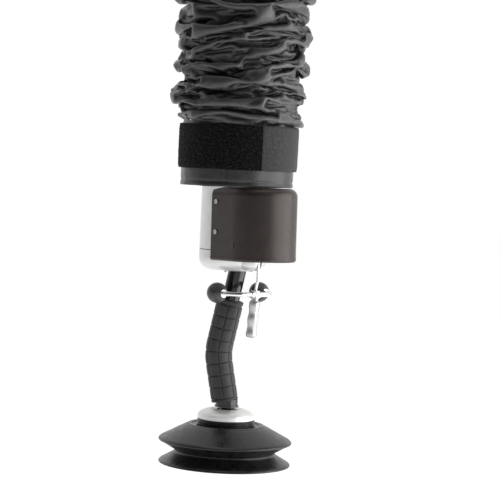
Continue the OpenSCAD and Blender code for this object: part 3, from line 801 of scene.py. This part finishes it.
def make_grip():
    """A soft grip with lengthwise grooves and ring grooves that leave lightly pillowed cells."""
    top, bottom = along_handle(GRIP_TOP), along_handle(GRIP_BOTTOM)
    around = groove_stops(GRIP_GROOVES, 5)
    turns = [TURN * (position + 0.08) / GRIP_GROOVES for position in around]
    lip = 0.0018
    quarter = [math.pi / 2 * k / 4 for k in range(5)]
    stops = [(lip * (1 - math.cos(angle)), lip * (1 - math.sin(angle))) for angle in quarter]
    first = top + FIRST_RING
    count = int((bottom - lip - first) / RING_PITCH) + 1
    middle = [first + RING_PITCH * c for c in groove_stops(count, 5)]
    middle = [top + 0.0026, top + 0.0036] + [s for s in middle if s < bottom - lip - 0.0008]
    rows = [handle_ring(top, turns, [TUBE_R + 0.0001] * len(turns))]
    rows += [handle_ring(top + s, turns, [GRIP_R - inset] * len(turns)) for s, inset in stops]
    for s in middle:
        cell = (s - first) / RING_PITCH
        fade = min(1.0, (s - top) / 0.006, (bottom - s) / 0.006)
        radii = []
        for position in around:
            ring_cut = groove_depth(cell) if s > first - 0.001 else 0
            cut = max(groove_depth(position) * fade, ring_cut)
            pillow = abs(math.sin(math.pi * position)) * abs(math.sin(math.pi * cell))
            swell = 0.00035 * pillow ** 0.5 * fade
            spot = Vector((position * 0.9, s * 120, 2.0))
            radii.append(GRIP_R - cut + swell - 0.0003 * fade + 0.00018 * noise.noise(spot))
        rows.append(handle_ring(s, turns, radii))
    rows += [handle_ring(bottom - s, turns, [GRIP_R - inset] * len(turns)) for s, inset in stops[::-1]]
    rows.append(handle_ring(bottom, turns, [0.0158] * len(turns)))
    verts, faces, uvs = grid(rows, True, False, (TURN * GRIP_R, bottom - top))
    faces, uvs = [face[::-1] for face in faces], [uv[::-1] for uv in uvs]
    grip = piece("grooved_grip", verts, faces, "grip_rubber", uvs)
    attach(grip, "operator")
    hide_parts("grip_sleeve")


# ---------- Trigger ----------

TRIGGER_TILT = math.radians(5.5)
SWELL_PITCH = 20.5


def make_trigger():
    """The turned finger grip with three swells, hung from the yoke's hub at a small tilt."""
    low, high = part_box("trigger_grip")
    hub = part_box("lever_hub")
    x = (hub[0].x + hub[1].x) / 2
    length = (high.z - low.z) / MM / math.cos(TRIGGER_TILT) - 0.6
    outline = [(0.3, 0), (4.4, 0), (4.4, 3.0), (5.9, 4.2)]
    steps = 44
    for k in range(steps + 1):
        s = 5.4 + (length - 8.4) * k / steps
        outline.append((6.95 + 0.55 * math.cos(TURN * (s - 9.5) / SWELL_PITCH), s))
    outline += [(outline[-1][0] - 0.1, length - 1.6), (outline[-1][0] - 1.4, length), (0.3, length)]
    cuts = [0, 0.0003, 0.001, 0.001] + [0] * steps + [0.001, 0.0012, 0.0015, 0]
    profile = soften([(r * MM, -s * MM) for r, s in outline], cuts, True, 3)
    trigger = lathe("turned_trigger", profile[::-1], "steel", 64)
    trigger.data.transform(Matrix.Translation((x, 0, high.z)) @ Matrix.Rotation(TRIGGER_TILT, 4, "Y"))
    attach(trigger, "lever")
    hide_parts("trigger_grip")


# ---------- Cup, collar and dome ----------

RIM_LIFT = 2.0  # how much higher the collar meets the dome's rim than in the CAD solids, in millimetres


def over(node, pairs):
    """A profile in metres from (radius, height above the node's lowest point) in millimetres."""
    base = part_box(node)[0].z
    return [(r * MM, base + up * MM) for r, up in pairs]


def make_cup():
    """The double-lip cup: an upper cone, a thin upper lip, a waist, and the sealing lip below."""
    outline = over("suction_cup", [
        (26, 54.6), (47.5, 54.6), (48.3, 56), (52.5, 56.6), (55.5, 54.9), (60, 52.8), (91.6, 36), (94, 33.4),
        (93.4, 31.5), (90.4, 30.5), (72, 19.8), (70.6, 17.3), (72, 14.8), (91.2, 3.8), (93, 1.4), (91.9, 0),
        (89, 1.5), (67.6, 13.3), (66, 17.3), (67.5, 21.6), (84, 30.4), (86, 32.4), (84, 34.8),
        (54, 50), (51, 49.6), (26, 49.6),
    ])
    cuts = [
        0.4, 1, 1.2, 1.4, 2, 3, 1.6, 1.6, 1, 2, 3, 2.5, 3,
        1.6, 1.2, 0.8, 2, 3, 2, 3, 2, 1, 1.5, 2, 1, 0.4,
    ]
    outline = soften(outline, [c * MM for c in cuts], True, 4)
    cup = lathe("bellows_cup", outline[::-1], "cup_rubber", 180)
    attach(cup, "cup")
    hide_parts("suction_cup")
    tall = (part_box("cup_collar")[1].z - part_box("cup_collar")[0].z) / MM
    top = tall + RIM_LIFT
    outline = [(24.05, tall), (28.6, tall), (28.6, top), (39.6, top)]
    for up in (top - 2.2, top - 5.0, top - 7.8):
        outline += [(39.3, up + 0.9), (40.8, up + 0.4), (40.8, up - 0.4), (39.3, up - 0.9)]
    outline = soften(over("cup_collar", outline + [(39.6, 0), (24.05, 0)]), 0.35 * MM, True, 3)
    collar = lathe("ribbed_collar", outline[::-1], "cup_rubber", 120)
    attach(collar, "cup")
    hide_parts("cup_collar")


def make_dome():
    outline = over("dome_cap", [
        (13.2, 15.6), (18.2, 15.6), (20.5, 16.4), (24.5, 16.1), (31.5, 14.1), (36.2, 11.7),
        (39.0, 9.2), (39.2, 8.6), (40, 8.0), (40, RIM_LIFT), (28, RIM_LIFT),
        (28, 4.5), (16.2, 4.5), (15.8, 10),
    ])
    cuts = [0.4, 1.0, 1.0, 3.0, 3.6, 2.4, 1.0, 0.3, 0.4, 0.7, 0.3, 0.3, 0.3, 0.3]
    outline = soften(outline, [c * MM for c in cuts], True, 5)
    dome = lathe("turned_dome", outline[::-1], "aluminium", 160)
    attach(dome, "dome_head")
    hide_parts("dome_cap")


make_cuffs_and_straps()
make_lift_hose()
make_tube()
make_grip()
make_trigger()
make_cup()
make_dome()
make_sleeve()


# ---------- Floor and light ----------

def aim(light, at):
    light.rotation_euler = (Vector(at) - light.location).to_track_quat("-Z", "Y").to_euler()


def softbox(name, place, at, wide, high, power):
    data = bpy.data.lights.new(name, "AREA")
    data.shape = "RECTANGLE"
    data.size, data.size_y = wide, high
    data.energy = power
    light = bpy.data.objects.new(name, data)
    bpy.context.collection.objects.link(light)
    light.location = place
    aim(light, at)
    return light


def make_world():
    """A white studio that is darker on the camera's side, as a camera stands in the dark part of a studio."""
    world = bpy.data.worlds.new("studio")
    bpy.context.scene.world = world
    world.use_nodes = True
    tree = world.node_tree
    where = tree.nodes.new("ShaderNodeTexCoord")
    facing = tree.nodes.new("ShaderNodeVectorMath")
    facing.operation = "DOT_PRODUCT"
    facing.inputs[1].default_value = ahead
    tree.links.new(where.outputs["Generated"], facing.inputs[0])
    level_of = tree.nodes.new("ShaderNodeMapRange")
    for socket, number in (("From Min", -0.25), ("From Max", 0.55), ("To Min", 0.13), ("To Max", 1.0)):
        level_of.inputs[socket].default_value = number
    tree.links.new(facing.outputs["Value"], level_of.inputs["Value"])
    ray = tree.nodes.new("ShaderNodeLightPath")
    strength = tree.nodes.new("ShaderNodeMix")
    tree.links.new(ray.outputs["Is Camera Ray"], strength.inputs["Factor"])
    tree.links.new(level_of.outputs["Result"], strength.inputs[2])
    strength.inputs[3].default_value = 1.0
    tree.links.new(strength.outputs[0], tree.nodes["Background"].inputs["Strength"])
    tree.nodes["Background"].inputs["Color"].default_value = (1, 1, 1, 1)


FLOOR_HALF = 14
FLOOR_HEIGHT = -1.3
FLOOR_GLOW = 0.56
KEY_ANGLE = math.radians(76)  # from behind the camera towards its right
KEY_DISTANCE = 1.7
KEY_POWER = 40
TOP_POWER = 24


def make_floor():
    signs = ((-1, -1), (1, -1), (1, 1), (-1, 1))
    corners = [(x * FLOOR_HALF, y * FLOOR_HALF, FLOOR_HEIGHT) for x, y in signs]
    mesh = bpy.data.meshes.new("floor")
    mesh.from_pydata(corners, [], [(0, 1, 2, 3)])
    floor = bpy.data.objects.new("floor", mesh)
    bpy.context.collection.objects.link(floor)
    finish = Finish("floor", grey(0.9), 0.9)
    finish.shader.inputs["Emission Color"].default_value = (1, 1, 1, 1)
    finish.shader.inputs["Emission Strength"].default_value = FLOOR_GLOW
    mesh.materials.append(finish.material)


def make_lights():
    middle = Vector((0, 0, -0.55))
    key_side = right * math.sin(KEY_ANGLE) - ahead * math.cos(KEY_ANGLE)
    softbox("key", middle + key_side * KEY_DISTANCE + Vector((0, 0, 0.25)), middle, 2.2, 2.0, KEY_POWER)
    softbox("top", Vector((0, 0, 2.2)), middle, 2.0, 2.0, TOP_POWER)


make_world()
make_floor()
make_lights()
bpy.context.scene.view_settings.view_transform = "Standard"
